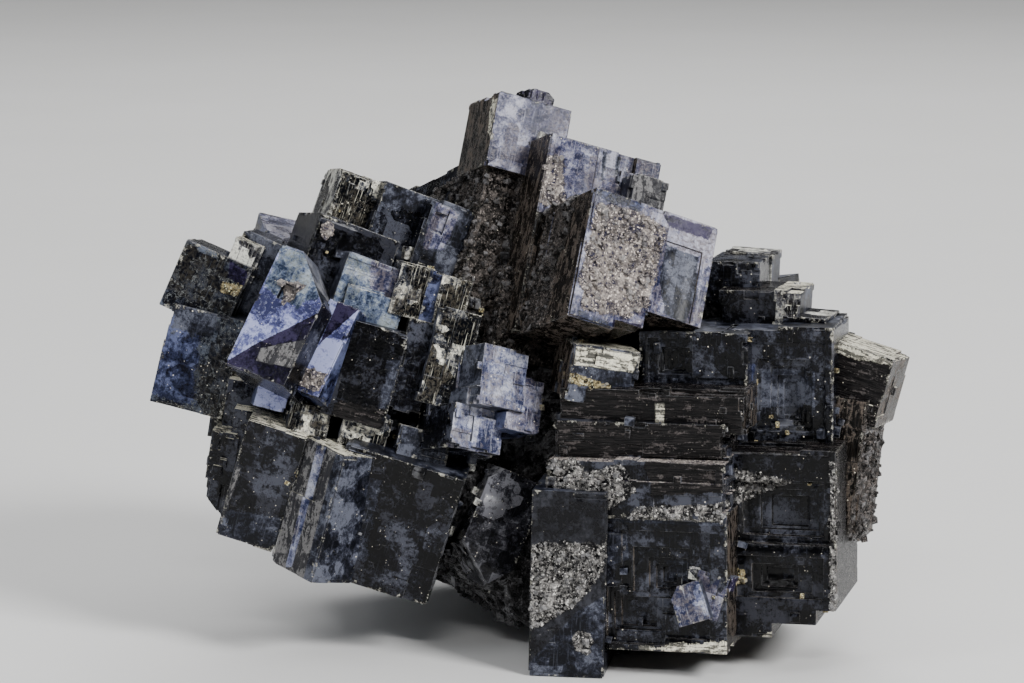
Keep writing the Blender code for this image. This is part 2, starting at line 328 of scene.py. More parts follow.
def core(crystal, relief):
    """The crystal's body, set back a little so that its plates make up its full size."""
    crystal.steps.append((True, tuple(crystal.low + relief), tuple(crystal.high - relief)))


def plates(crystal, relief):
    """One broad plate on each face, flush with the crystal's full size."""
    for face, (axis, side) in FACES.items():
        ends = []
        for a in ACROSS[axis]:
            margin = crystal.rng.random(2) * BROAD_MARGIN * crystal.size()[a]
            ends.append((crystal.low[a] + margin[0], crystal.high[a] - margin[1]))
        sheet_step(crystal, face, True, ends[0], ends[1], 0.0, relief + ROOT)


HABITS = {
    # relief, terraces per face, coverage, notches, buds
    "smooth": (0.1, 1, 0.85, 5, 0),
    "glassy": (0.1, 1, 0.80, 1, 0),
    "stepped": (0.3, 5, 0.75, 5, 1),
    "ragged": (0.4, 9, 0.60, 10, 6),
}


def grow(crystal, habit):
    relief, plates_count, cover, bites, bud_count = HABITS[habit]
    scale = min(1.0, float(crystal.size().min()) / 4.0)
    relief = max(LATTICE, round(relief * scale / LATTICE) * LATTICE)
    core(crystal, relief)
    plates(crystal, relief)
    for face in FACES:
        terraces(crystal, face, plates_count, relief, cover)
    notches(crystal, bites, 0.9 * scale)
    notches(crystal, 3 * bites, 0.35 * scale)
    for face in ("front", "left", "right", "top", "back"):
        buds(crystal, face, bud_count, 1.1 * scale)


def slice_off(piece, place, out):
    """Cut a closed mesh with a plane, drop what lies beyond it and close the cut."""
    bm = bmesh.new()
    bm.from_mesh(piece.data)
    parts = list(bm.verts) + list(bm.edges) + list(bm.faces)
    cut = bmesh.ops.bisect_plane(bm, geom=parts, dist=1e-7, plane_co=place, plane_no=out,
                                 clear_outer=True)
    rim = [part for part in cut["geom_cut"] if isinstance(part, bmesh.types.BMEdge)]
    bmesh.ops.edgenet_fill(bm, edges=rim)
    bmesh.ops.recalc_face_normals(bm, faces=list(bm.faces))
    bm.to_mesh(piece.data)
    bm.free()


# crystal -> corners cut away: a point on the cut as shares from the low corner, and its outward way
TRUNCATIONS = {
    "clear_crystal": [((0.22, 0.0, 1.0), (-1.0, -0.35, 0.8)), ((0.0, 0.0, 0.30), (-0.8, -0.2, -1.0)),
                      ((0.80, 0.0, 1.0), (0.8, -0.5, 0.45)), ((0.62, 0.0, 0.0), (0.9, -0.2, -0.8))],
    "facet_crystal": [((0.10, 0.0, 0.0), (-0.5, -0.2, -1.0))],
    "lavender_crystal": [((0.34, 0.0, 1.0), (0.71, 0.0, 0.70))],
    "left_end_crystal": [((0.0, 0.0, 0.26), (-0.7, 0.0, -0.7))],
    "perched_cube_left": [((0.30, 0.0, 1.0), (-0.8, -0.2, 0.7))],
    "right_slab": [((1.0, 0.0, 0.16), (0.75, -0.1, -0.6))],
    "crown_bud": [((0.0, 0.0, 0.7), (-0.6, -0.4, 0.7)), ((1.0, 0.0, 0.7), (0.6, -0.3, 0.8))],
}


def shape_off(piece, crystal, base):
    """The crystal's truncated corners, and the flat patch that the specimen stands on."""
    size = Vector(crystal.size())
    for shares, out in TRUNCATIONS.get(crystal.name, []):
        place = Vector([shares[i] * size[i] for i in range(3)]) * MM
        slice_off(piece, place, Vector(out).normalized())
    corners = [piece.matrix_world @ Vector(corner) for corner in piece.bound_box]
    if min(corner.z for corner in corners) < base:
        back = piece.matrix_world.inverted()
        slice_off(piece, back @ Vector((0, 0, base)), back.to_3x3() @ Vector((0, 0, -1)))


def tri_bvh():
    points, faces = [], []
    for node in NODES.values():
        start = len(points)
        points.extend(v.co.copy() for v in node.data.vertices)
        faces.extend([start + i for i in p.vertices] for p in node.data.polygons)
    return BVHTree.FromPolygons(points, faces)


ALL_SOLIDS = tri_bvh()


# ---------------------------------------------------------------- surface materials

# pattern -> its noise: scale, detail, roughness, stretch, shift, distortion
NOISES = {
    "broad": (0.30, 4.0, 0.55),
    "mottled": (1.1, 7.0, 0.64, None, 1.7, 0.3),
    "fine": (3.6, 5.0, 0.66, None, 3.3, 0.4),
    "speck": (7.5, 3.0, 0.6, None, 5.0),
    "stripes_x": (1.0, 7.0, 0.68, (0.45, 2.6, 2.6), 0.0, 0.5),
    "stripes_z": (1.0, 7.0, 0.68, (1.35, 1.35, 0.50), 0.0, 1.1),
    "hairlines_x": (1.0, 4.0, 0.6, (0.5, 9.0, 9.0), 0.0, 0.2),
    "hairlines_z": (1.0, 4.0, 0.6, (9.0, 9.0, 0.5), 0.0, 0.2),
}

# pattern -> its cells: scale, how distance is measured, shift
CELLS = {
    "zones": (0.40, "CHEBYCHEV"),
    "small_zones": (1.25, "CHEBYCHEV", 3.1),
    "grains": (8.5, "EUCLIDEAN", 2.3),
    "painted_glints": (3.4, "EUCLIDEAN", 9.0),
}


class Nodes:
    """Short calls for building a material's node tree, with the patterns that its looks share."""

    def __init__(self, name, shift=0.0):
        self.material = bpy.data.materials.new(name)
        self.material.use_nodes = True
        self.tree = self.material.node_tree
        self.shader = self.tree.nodes["Principled BSDF"]
        self.shift = shift
        self.made = {}
        coords = self.new("TexCoord").outputs
        scale = self.new("VectorMath")
        scale.operation = "SCALE"
        self.mm = self.feed(scale, {0: coords["Object"], "Scale": 1.0 / MM})[0]
        self.normal = coords["Normal"]

    def new(self, kind):
        return self.tree.nodes.new("ShaderNode" + kind)

    def feed(self, node, inputs):
        """Link or set these inputs of a node, and give its outputs."""
        for socket, value in inputs.items():
            self.link(value, node.inputs[socket])
        return node.outputs

    def link(self, value, socket):
        if isinstance(value, bpy.types.NodeSocket):
            self.tree.links.new(value, socket)
        elif isinstance(value, tuple) and len(value) == 3 and socket.type == "RGBA":
            socket.default_value = (*value, 1.0)
        else:
            socket.default_value = value

    def math(self, operation, a, b=0.0):
        node = self.new("Math")
        node.operation = operation
        return self.feed(node, {0: a, 1: b})[0]

    def times(self, a, b):
        return self.math("MULTIPLY", a, b)

    def add(self, *values):
        """The sum of value * factor pairs."""
        total = None
        for value, factor in values:
            term = value if factor == 1.0 else self.times(value, factor)
            total = term if total is None else self.math("ADD", total, term)
        return total

    def vector(self, operation, a, b=(0.0, 0.0, 0.0)):
        node = self.new("VectorMath")
        node.operation = operation
        return self.feed(node, {0: a, 1: b})["Value" if operation == "DOT_PRODUCT" else 0]

    def split(self, vector):
        return self.feed(self.new("SeparateXYZ"), {0: vector})

    def noise(self, scale, detail, rough, stretch=None, shift=0.0, distortion=0.0):
        at = self.mm if stretch is None else self.vector("MULTIPLY", self.mm, stretch)
        move = self.shift + shift
        at = self.vector("ADD", at, (move, move * 0.7, -move * 1.3))
        return self.feed(self.new("TexNoise"), {"Vector": at, "Scale": scale, "Detail": detail,
                                                "Roughness": rough, "Distortion": distortion})["Fac"]

    def cells(self, scale, metric, shift=0.0):
        move = self.shift + shift
        at = self.vector("ADD", self.mm, (move, -move * 0.6, move * 1.7))
        node = self.new("TexVoronoi")
        node.distance = metric
        outputs = self.feed(node, {"Vector": at, "Scale": scale})
        return outputs["Distance"], self.split(outputs["Color"])

    def span(self, value, low, high, to_low=0.0, to_high=1.0):
        node = self.new("MapRange")
        node.clamp = True
        return self.feed(node, {"Value": value, "From Min": low, "From Max": high,
                                "To Min": to_low, "To Max": to_high})["Result"]

    def mix(self, share, a, b):
        node = self.new("Mix")
        node.data_type = "RGBA"
        return self.feed(node, {"Factor": share, 6: a, 7: b})[2]

    def mix_value(self, share, a, b):
        return self.feed(self.new("Mix"), {"Factor": share, 2: a, 3: b})[0]

    def deepen(self, colour, power):
        """The same colour with its darks pulled down more than its lights."""
        return self.feed(self.new("Gamma"), {"Color": colour, "Gamma": power})["Color"]

    def bump(self, height, strength, distance):
        return self.feed(self.new("Bump"), {"Height": height, "Strength": strength,
                                            "Distance": distance * MM})["Normal"]

    def __getitem__(self, pattern):
        """A pattern that several looks of one material share, made once."""
        if pattern not in self.made:
            if pattern in CELLS:
                self.made[pattern] = self.cells(*CELLS[pattern])
            else:
                self.made[pattern] = self.noise(*NOISES[pattern])
        return self.made[pattern]

    def face(self, name):
        """1 on the faces that look this way in the crystal's own axes, 0 elsewhere."""
        key = "face_" + name
        if key not in self.made:
            axis, side = FACES[name]
            along = self.split(self.normal)[axis]
            self.made[key] = self.span(along, *((0.55, 0.65) if side else (-0.55, -0.65)))
        return self.made[key]


class Look:
    """A surface: its colour, roughness and relief in mm."""

    def __init__(self, colour, rough, height):
        self.colour = colour
        self.rough = rough
        self.height = height

    def under(self, n, share, other):
        """This look with the other one over it, as far as share says."""
        return Look(n.mix(share, self.colour, other.colour),
                    n.mix_value(share, self.rough, other.rough),
                    n.mix_value(share, self.height, other.height))


def cloudy(n, deep, middle, light, rough=0.2, patchy=1.0, scratch=0.3, warm=None, veins=None,
           cover=0.0):
    """Glassy face: dark depth, a hazy tarnish in straight-edged zones, scratches and veins."""
    zone = n["zones"][1]
    small = n["small_zones"][1]
    veil = n.add((n["broad"], 0.9), (n["mottled"], 0.9), (zone[0], 0.22 * patchy),
                 (small[1], 0.10 * patchy), (n["fine"], 0.75), (n["speck"], 0.25))
    middle_at = 1.40 + 0.16 * patchy - cover
    colour = n.mix(n.span(veil, middle_at - 0.17, middle_at), deep, middle)
    colour = n.mix(n.span(veil, middle_at, middle_at + 0.17), colour, light)
    flecks = n.times(n.span(n["speck"], 0.57, 0.64, 0.0, 0.6),
                    n.span(n["mottled"], 0.52, 0.64))
    colour = n.mix(flecks, colour, light)
    if warm is not None:
        rusty = n.add((n["fine"], 1.0), (zone[2], 0.15))
        colour = n.mix(n.span(rusty, 0.54, 0.72, 0.0, 0.75), colour, warm)
    scratches = n.span(n["hairlines_z"], 0.58, 0.68, 0.0, scratch)
    colour = n.mix(scratches, colour, light)
    ridge = n.math("ABSOLUTE", n.math("SUBTRACT", n["mottled"], 0.5))
    vein = n.times(n.span(ridge, 0.012, 0.004), n.span(n["fine"], 0.45, 0.55))
    colour = n.mix(n.times(vein, 0.8), colour, deep if veins is None else veins)
    roughness = n.span(veil, middle_at - 0.3, middle_at + 0.2, rough * 1.3, rough * 2.0)
    height = n.add((n["mottled"], 0.022), (n["fine"], 0.024), (small[2], 0.012),
                   (vein, -0.010))
    return Look(colour, roughness, height)


def grainy(n, gap, low, high, rough=0.42, relief=0.10, cover=0.5):
    """Crust of tiny crystals in lumps, each crystal with its own brightness, and the brightest grains painted
    lighter as glints.
    """
    near, tint = n["grains"]
    lumps = n.add((n["fine"], 1.0), (n["mottled"], 0.9), (n["speck"], 0.5))
    bright = n.add((tint[0], 0.14), (n["mottled"], 1.0), (n["fine"], 0.55),
                   (n["broad"], 0.5))
    colour = n.mix(n.span(bright, 0.92, 1.34), low, high)
    # Painted glints: a tenth of the grains is painted half again as light, as light off their facets.
    colour = n.mix(n.math("GREATER_THAN", tint[2], 0.90), colour, tuple(min(1.0, 1.5 * c) for c in high))
    open_at = 1.30 - 0.22 * cover
    colour = n.mix(n.span(lumps, open_at - 0.05, open_at - 0.13, 0.0, 0.9), colour, gap)
    height = n.add((near, -relief), (tint[1], relief * 0.5), (n["fine"], 0.30),
                   (n["mottled"], 0.70))
    return Look(colour, n.span(tint[2], 0.0, 1.0, rough * 0.4, rough * 1.4), height)


def striped(n, base, stripe, way, amount=0.35, rough=0.3, grain=0.7):
    """Growth striations one way across a dark face, broken into streaks and flakes of crust; the cream look
    uses the same streaks as painted glints.
    """
    streaks = n["stripes_" + way]
    hair = n["hairlines_" + way]
    broken = n.add((streaks, 0.9), (hair, 0.16), (n["mottled"], 0.45),
                   (n["fine"], 0.30), (n["speck"], 0.15))
    middle = 1.00 - 0.26 * (amount - 0.35)
    share = n.span(broken, middle, middle + 0.07)
    faint = n.span(hair, 0.45, 0.65, 0.0, 0.45)
    colour = n.mix(faint, base, tuple(0.45 * c for c in stripe))
    dusted = n.mix(n.span(n["speck"], 0.40, 0.62), tuple((1 - 0.75 * grain) * c for c in stripe),
                   stripe)
    colour = n.mix(share, colour, dusted)
    height = n.add((share, 0.050), (hair, 0.030), (n["fine"], 0.050),
                   (n["mottled"], 0.16))
    return Look(colour, n.span(share, 0.0, 1.0, rough * 0.7, rough * 1.5), height)


def tinted(word):
    """A colour written in thousandths."""
    return tuple(float(part) / 1000 for part in word.split(","))


# The cream look is painted glints: bright cream streaks on tops, ledges and small steps that stand in for
# light off them.
# Each row: a look, how it is made, its colours in the order that its function takes them, and its
# other numbers.
MAKERS = {"cloudy": cloudy, "grainy": grainy, "striped": striped}
SKINS = {}
for name, maker, *words in rows("""
smoky cloudy 3,3.1,4.5 15,16,23 95,100,125 rough=0.11 scratch=0.25 patchy=1.4
black cloudy 2.4,2.4,3.2 6,6.2,9 50,52,66 rough=0.09 scratch=0.2 patchy=1.3
smooth cloudy 10,10,13 28,29,36 65,67,80 rough=0.18 scratch=0.15
slate cloudy 6,7,12 38,42,62 160,170,210 rough=0.22 scratch=0.35
webbed cloudy 6,7,12 34,40,60 150,172,215 rough=0.16 veins=360,380,380 patchy=1.5 warm=62,56,46 cover=-0.04
indigo cloudy 7,8,20 34,42,90 150,170,280 rough=0.18 scratch=0.2 patchy=1.3
plum cloudy 7,6,14 18,15,36 60,50,105 rough=0.12 scratch=0.1
lilac cloudy 30,34,75 135,140,220 460,460,540 rough=0.16 scratch=0.5 patchy=1.6 warm=185,160,165 cover=-0.03
azure cloudy 55,60,140 160,172,345 430,460,690 rough=0.14 scratch=0.1 patchy=1.2 veins=550,580,720
bright cloudy 40,48,100 190,205,310 560,575,660 rough=0.18 scratch=0.6 patchy=1.2 warm=230,205,200 cover=-0.04
ice cloudy 35,50,90 150,185,270 420,470,520 rough=0.18 scratch=0.2 patchy=1 warm=200,215,190
pale cloudy 6,6,10 120,122,140 840,830,760 rough=0.14 scratch=0.5 patchy=2 warm=50,42,36 cover=0.02
cream striped 110,108,98 960,920,770 way=x amount=0.62 rough=0.14 grain=0.3
glint cloudy 5,6,9 75,82,105 980,950,820 rough=0.1 scratch=0.6 patchy=3.4 warm=130,115,90 cover=-0.22
glass cloudy 12,12,15 50,50,60 200,200,220 rough=0.09 scratch=0.05 patchy=2.2
druse grainy 50,50,100 95,85,92 620,560,510 cover=0.6 rough=0.2 relief=0.07
rock grainy 4,3.5,3 13,11.5,11 220,195,180 cover=0.2 rough=0.28 relief=0.12
matrix grainy 2.5,2.5,3 6,5.8,6.5 75,72,74 cover=0.2 rough=0.3 relief=0.12
silver grainy 4,4,7 10,10,14 600,580,550 relief=0.14 cover=0.3 rough=0.22
gold grainy 10,8,6 80,60,35 950,820,500 rough=0.3
streaked striped 6,5.2,4.8 200,166,140 way=z amount=0.42
banded striped 4.8,4.5,5.2 170,150,145 way=x amount=0.22
striated striped 45,45,52 260,255,255 way=z amount=0.55 rough=0.2 grain=0.3
"""):
    colours = [tinted(word) for word in words if "=" not in word]
    numbers = dict(word.split("=") for word in words if "=" in word)
    for key, value in numbers.items():
        if key != "way":
            numbers[key] = tinted(value) if "," in value else float(value)
    SKINS[name] = (MAKERS[maker], colours, numbers)

# Each group of parallel crystals starts with its turn, in degrees about X, Y and Z. Each row after
# it: a crystal, its habit, the looks of its front, its sides and its top, and how much crust, partly
# painted glints, its edges carry.
TURN_OF = {}
DRESS = {}
for words in rows("""
-20 20 20
drusy_crystal smooth lilac streaked slate 0.5
shoulder_crystal smooth streaked streaked banded 0.5
lower_shoulder ragged streaked streaked streaked 0.4
rear_upper_crystal stepped streaked smoky slate 0.5
-16 17 18
upper_crystal smooth lilac streaked pale 0.6
crown_crystal smooth lilac streaked slate 0.4
crown_bud stepped plum black plum 0.1
upper_step stepped striated slate pale 0.5
-2 10 10
ledge_crystal stepped slate streaked cream 0.8
-14 17 32
middle_crystal stepped bright slate pale 0.5
middle_low_crystal stepped bright smoky slate 0.6
middle_side_crystal stepped lilac indigo slate 0.5
-8 16 6
column_left stepped glint smoky cream 1.0
column_centre stepped indigo smoky pale 0.7
column_right stepped glint slate cream 0.9
pillar_right stepped glint slate pale 0.7
pillar_left stepped smoky glint cream 0.8
small_blue_cube smooth azure indigo ice 0.4
pale_crystal stepped ice slate pale 0.6
top_cube_left stepped glint slate cream 1.0
top_cube_centre stepped glint smoky cream 1.0
top_cube_right stepped slate smoky pale 1.0
-8 23 -8
far_left_cube smooth webbed black smoky 1.0
blue_crystal stepped pale smoky cream 0.8
back_left_crystal stepped slate black smoky 0.6
-6 13 -8
left_low_crystal stepped webbed black slate 0.7
-30 14 -26
lavender_crystal smooth azure smoky slate 0.3
strip_crystal smooth azure indigo lilac 0.3
-8 22 12
wedge_crystal smooth ice slate indigo 0.5
pane_crystal smooth black black smoky 0.6
speckled_crystal ragged glint pale cream 1.0
grey_crystal_left stepped slate smoky pale 0.6
grey_crystal_right stepped slate smoky slate 0.5
-6 15 -3
black_cube smooth black black slate 0.5
-11 10 -46
facet_crystal glassy striated slate cream 0.6
5 17 -4
left_block smooth black black cream 0.7
right_block smooth black black slate 0.6
5 10 -4
left_end_crystal ragged smoky silver cream 1.0
-8 25 12
clear_crystal glassy glass glass glass 0.6
-10 -20 -14
perched_cube_left smooth bright slate pale 0.5
-6 14 -20
perched_cube_right stepped lilac plum slate 0.4
-2 1 -8
corner_column smooth smooth black slate 0.4
-2 -1 -14
hopper_lower stepped smoky streaked banded 0.5
hopper_right stepped black streaked banded 0.7
terrace_right stepped smoky smoky slate 0.8
centre_block ragged smoky smoky slate 0.8
band_upper ragged banded streaked banded 0.4
band_middle ragged banded banded smoky 0.4
band_lower ragged smoky smoky druse 0.9
stack_top stepped smoky black smoky 0.6
stack_middle stepped black smoky banded 0.5
-4 14 -22
right_corner stepped banded streaked cream 0.9
-2 5 -24
right_slab smooth streaked streaked banded 0.8
-2 2 -16
bright_step stepped pale slate cream 0.9
edge_step stepped smoky smoky pale 0.9
back_right_crystal stepped pale slate pale 0.8
8 14 12
rear_left_crystal stepped slate indigo lilac 0.6
rear_low_crystal ragged streaked banded smoky 0.5
-4 -8 -24
rear_right_crystal stepped smoky black slate 0.6
"""):
    if len(words) == 3:
        turn = tuple(int(angle) for angle in words)
    else:
        TURN_OF[words[0]] = turn
        DRESS[words[0]] = (*words[1:5], float(words[5]))

# Patches of another look, under the name of their crystal. Each row: the look, the face if it isn't
# the front, how ragged the patch's edge is in mm, and its corners in percent of the face, across it
# and down from its top. On a side face, across runs from the front to the back.
PATCHES = {}
for words in rows("""
drusy_crystal
rock left 0.9 25,0 100,0 100,100 35,100
druse 0.5 5,12 30,7 60,12 60,72 44,88 10,92 3,70
indigo 0.3 4,0 42,0 40,7 5,8
slate 0.2 64,24 90,26 93,56 88,80 72,76 63,50
plum 0.2 55,2 97,1 94,11 62,11
plum 0.1 34,93 56,90 56,120 34,120
indigo 0.3 8,94 34,97 34,120 8,120
upper_crystal
druse 0.4 0,12 14,10 24,34 0,36
rock left 0.9 30,0 100,0 100,100 30,100
streaked 0.1 0,40 100,37 100,110 0,110
slate 0.2 47,2 52,2 54,15 50,17
slate 0.2 60,1 66,2 66,10 62,12
shoulder_crystal
rock left 0.6 0,0 100,0 100,100 0,100
rock 0.6 0,0 100,0 100,100 0,100
lower_shoulder
rock left 0.6 0,0 100,0 100,100 0,100
rock 0.6 0,0 100,0 100,100 0,100
crown_crystal
cream left 0.5 2,10 22,8 16,55 4,60
ledge_crystal
cream 0.1 3,4 97,4 93,36 5,36
gold 0.3 0,50 62,62 62,76 0,66
lavender_crystal
plum 0.06 100,40 27,80 0,98 0,110 100,110
striated 0.1 40,80 100,62 100,86 42,90
ice 0.5 0,0 80,0 95,28 60,42 0,36
druse 0.1 22,27 64,24 42,43
strip_crystal
plum 0.05 30,0 100,0 34,48
druse 0.2 5,76 95,74 95,95 5,95
left_low_crystal
indigo 1.1 -10,10 45,4 60,90 -10,95
slate 0.9 0,-10 70,-10 60,20 10,30
far_left_cube
gold 0.3 70,34 98,26 96,44 72,50
plum 0.1 66,2 100,8 100,28 74,26
pane_crystal
druse 0.2 5,10 10,5 19,6 22,14 16,21 8,19
smoky 0.6 10,25 90,20 90,60 20,60
wedge_crystal
lilac 0.3 35,0 100,0 100,50 50,50
black_cube
banded 0.5 20,82 95,80 95,100 22,100
slate 0.4 80,30 100,26 100,76 86,80
grey_crystal_left
smoky 0.5 10,25 70,20 74,62 14,66
grey_crystal_right
lilac 0.3 10,4 66,8 58,52 14,60
facet_crystal
slate 0.06 80,0 100,0 100,100 80,100
bright 0.1 30,2 52,0 48,96 34,98
left_block
slate 0.4 0,78 100,70 100,100 0,100
smoky 0.8 30,5 95,10 85,55 35,60
striated 0.3 0,40 10,40 6,90 0,92
right_block
slate 0.6 5,25 35,20 40,80 8,85
smoky 0.6 50,45 92,40 90,90 50,95
corner_column
silver 0.5 0,28 100,27 96,42 62,60 0,76
slate 0.1 0,80 62,64 100,46 100,100 0,100
silver 0.1 56,78 64,74 80,75 86,80 76,86 62,85
hopper_lower
slate 0.1 0,0 100,0 100,9 0,9
slate 0.1 50,37 68,37 68,51 50,51
slate 0.1 2,16 20,18 22,36 6,40
cream 0.4 30,97 70,93 100,90 100,100 30,100
hopper_right
silver 0.4 5,9 66,16 26,28 7,34
gold 0.2 0,64 26,64 26,72 0,72
smoky 0.3 35,25 92,20 92,60 35,60
cream 0.3 45,97 100,92 100,100 40,100
silver 0.3 94,5 100,5 100,90 95,90
matrix right 0.8 5,0 100,0 100,100 5,100
terrace_right
slate 0.1 28,34 82,34 82,64 28,64
indigo 0.3 0,30 22,30 20,60 0,64
band_upper
cream 0.1 52,30 57,30 57,80 52,80
band_lower
silver 0.7 0,0 18,0 30,100 0,100
silver 0.5 20,30 42,10 50,55 30,95
silver 0.4 50,80 100,70 100,100 45,100
banded 0.4 55,5 100,2 100,50 60,60
right_slab
rock right 0.8 0,0 100,0 100,100 0,100
silver 0.6 0,30 35,30 30,75 0,80
right_corner
cream 0.3 0,0 80,0 100,6 50,16 0,12
"""):
    if len(words) == 1:
        PATCHES[words[0]] = patches = []
        continue
    face = words.pop(1) if words[1] in FACES else "front"
    corners = [tuple(int(number) / 100 for number in pair.split(",")) for pair in words[2:]]
    patches.append((words[0], face, float(words[1]), corners))

# Colour of the edge crust: partly a real crust of grains, partly painted glints along the edges.
EDGE_CRUST_AND_GLINT = (0.62, 0.60, 0.53)
# Colour of the painted highlight along the worn bevel edges.
PAINTED_EDGE_HIGHLIGHT = (0.30, 0.30, 0.31)
# Colour of the painted glints: tiny specks that stand in for light off small facets.
PAINTED_GLINT_COLOUR = (1.0, 0.93, 0.78)
DEPTH = 1.22         # how much deeper every crystal's darks are than its skins' own numbers
IOR = 1.43
SPECULAR = 0.25      # the shader's own specular level, low so that dark faces stay dark


def patch_share(n, face, ragged, corners, size):
    """1 inside a convex patch of a face, 0 outside, with a ragged edge."""
    axis = FACES[face][0]
    across, down = ACROSS[axis]
    points = []
    for u, v in corners:
        along_down = (1 - v) * size[down] if down == 2 else v * size[down]
        points.append(Vector((u * size[across], along_down)))
    centre = sum(points, Vector((0, 0))) / len(points)
    outside = None
    for first, second in zip(points, points[1:] + points[:1]):
        edge = second - first
        out = Vector((edge.y, -edge.x)).normalized()
        if out.dot(centre - first) > 0:
            out = -out
        way = [0.0, 0.0, 0.0]
        way[across], way[down] = out
        beyond = n.math("SUBTRACT", n.vector("DOT_PRODUCT", n.mm, tuple(way)), out.dot(first))
        outside = beyond if outside is None else n.math("MAXIMUM", outside, beyond)
    wander = n.add((n["mottled"], 3.0 * ragged), (n["speck"], 1.6 * ragged))
    outside = n.math("ADD", outside, n.math("SUBTRACT", wander, 2.3 * ragged))
    return n.times(n.span(outside, 0.03, -0.03), n.face(face))


def edge_distance(n, size):
    """Distance in mm to the nearest edge of the crystal: the middle one of three depths."""
    depths = []
    for i, place in enumerate(n.split(n.mm)):
        depths.append(n.math("MINIMUM", place, n.math("SUBTRACT", float(size[i]), place)))
    least = n.math("MINIMUM", n.math("MINIMUM", depths[0], depths[1]), depths[2])
    most = n.math("MAXIMUM", n.math("MAXIMUM", depths[0], depths[1]), depths[2])
    total = n.add((depths[0], 1.0), (depths[1], 1.0), (depths[2], 1.0))
    return n.math("SUBTRACT", n.math("SUBTRACT", total, least), most)


def finish_look(n, look, crust_and_glint=None, painted_glints=0.8):
    """Painted glints, painted highlights on the worn bevel edges, and edge crust partly painted as glints,
    over a look, then the shader.
    """
    # Painted glints: clustered specks painted near white, standing in for light off tiny facets.
    near, tint = n["painted_glints"]
    clump = n.add((tint[0], 0.6), (n["mottled"], 1.9))
    painted_glint = n.times(n.math("GREATER_THAN", clump, 1.58 - 0.16 * painted_glints),
                   n.span(n.math("ADD", near, n.times(tint[1], 0.26)), 0.25, 0.15))
    painted_glint = n.times(painted_glint, n.span(tint[2], 0.0, 0.8, 0.3, 1.0))
    # Edge crust: partly a real crust, partly painted glints, lighter along the crystal's edges.
    if crust_and_glint is not None:
        look = look.under(n, crust_and_glint, Look(n.mix(n.span(n["fine"], 0.4, 0.6),
                                               tuple(0.16 * c for c in EDGE_CRUST_AND_GLINT), EDGE_CRUST_AND_GLINT),
                                         0.3, n.times(n["fine"], 0.10)))
    # Painted highlight: the bevel faces of the worn edges, found by their slanted normals, are painted
    # lighter in broken lines, as light catching them.
    along = n.split(n.normal)
    level = n.math("MAXIMUM", n.math("ABSOLUTE", along[0]), n.math("ABSOLUTE", along[1]))
    level = n.math("MAXIMUM", level, n.math("ABSOLUTE", along[2]))
    painted_edge_highlight = n.times(n.span(level, 0.93, 0.80), n.span(n["mottled"], 0.42, 0.60))
    colour = n.mix(n.times(painted_edge_highlight, 0.75), look.colour, PAINTED_EDGE_HIGHLIGHT)
    colour = n.mix(painted_glint, n.deepen(colour, DEPTH), PAINTED_GLINT_COLOUR)
    n.link(colour, n.shader.inputs["Base Color"])
    n.link(look.rough, n.shader.inputs["Roughness"])
    n.shader.inputs["IOR"].default_value = IOR
    n.shader.inputs["Specular IOR Level"].default_value = SPECULAR
    n.link(n.bump(look.height, 0.8, 1.0), n.shader.inputs["Normal"])
    return n.material


def skin(n, name):
    maker, colours, numbers = SKINS[name]
    return maker(n, *colours, **numbers)


def crystal_material(name, shift, size):
    """The looks of one crystal's front, sides and top, with its patches and its edge crust, partly painted
    glints.
    """
    habit, front, side, top, rim = DRESS[name]
    n = Nodes(name + "_surface", shift)
    skins = {kind: skin(n, kind) for kind in sorted({front, side, top})}
    look = skins[side]
    if front != side:
        look = look.under(n, n.face("front"), skins[front])
    if top != side:
        look = look.under(n, n.face("top"), skins[top])
    for kind, face, ragged, corners in PATCHES.get(name, []):
        if kind not in skins:
            skins[kind] = skin(n, kind)
        look = look.under(n, patch_share(n, face, ragged, corners, size), skins[kind])
    # Crust near the crystal's edges, partly real crust and partly painted glints along them.
    reach = n.add((edge_distance(n, size), 1.0), (n["mottled"], 2.6), (n["speck"], 1.0))
    crust_and_glint = n.span(reach, 1.62 + 0.22 * rim, 1.50 + 0.22 * rim, 0.0, 0.9)
    return finish_look(n, look, crust_and_glint)


def massive_material():
    n = Nodes("massive_magnetite_surface")
    return finish_look(n, skin(n, "matrix"), painted_glints=0.6)


def floor_material():
    n = Nodes("pale_floor")
    cloud = n.noise(0.02, 3.0, 0.5)
    fine = n.noise(1.2, 3.0, 0.5)
    n.link(n.mix(cloud, (0.74, 0.735, 0.72), (0.80, 0.795, 0.785)), n.shader.inputs["Base Color"])
    n.link(n.span(fine, 0.3, 0.7, 0.55, 0.68), n.shader.inputs["Roughness"])
    n.link(n.bump(fine, 0.08, 0.05), n.shader.inputs["Normal"])
    return n.material


SLOT_OF = {s["node"]: s["material_slot"] for s in frame["record"]["subparts"]}

# crystal -> hollows on its front: window as shares from its left and its top, rings, depth of each
HOLLOWS = {
    "hopper_lower": [((0.16, 0.86, 0.14, 0.90), 5, 0.42), ((0.05, 0.5, 0.55, 0.95), 3, 0.5)],
    "hopper_right": [((0.06, 0.95, 0.16, 0.50), 4, 0.6), ((0.20, 0.90, 0.56, 0.78), 4, 0.4)],
    "terrace_right": [((0.12, 0.92, 0.12, 0.90), 5, 0.35)],
    "centre_block": [((0.08, 0.50, 0.10, 0.70), 3, 0.5)],
    "drusy_crystal": [((0.62, 0.92, 0.22, 0.78), 1, 0.2)],
    "lavender_crystal": [((0.27, 0.54, 0.28, 0.40), 1, 0.5)],
}

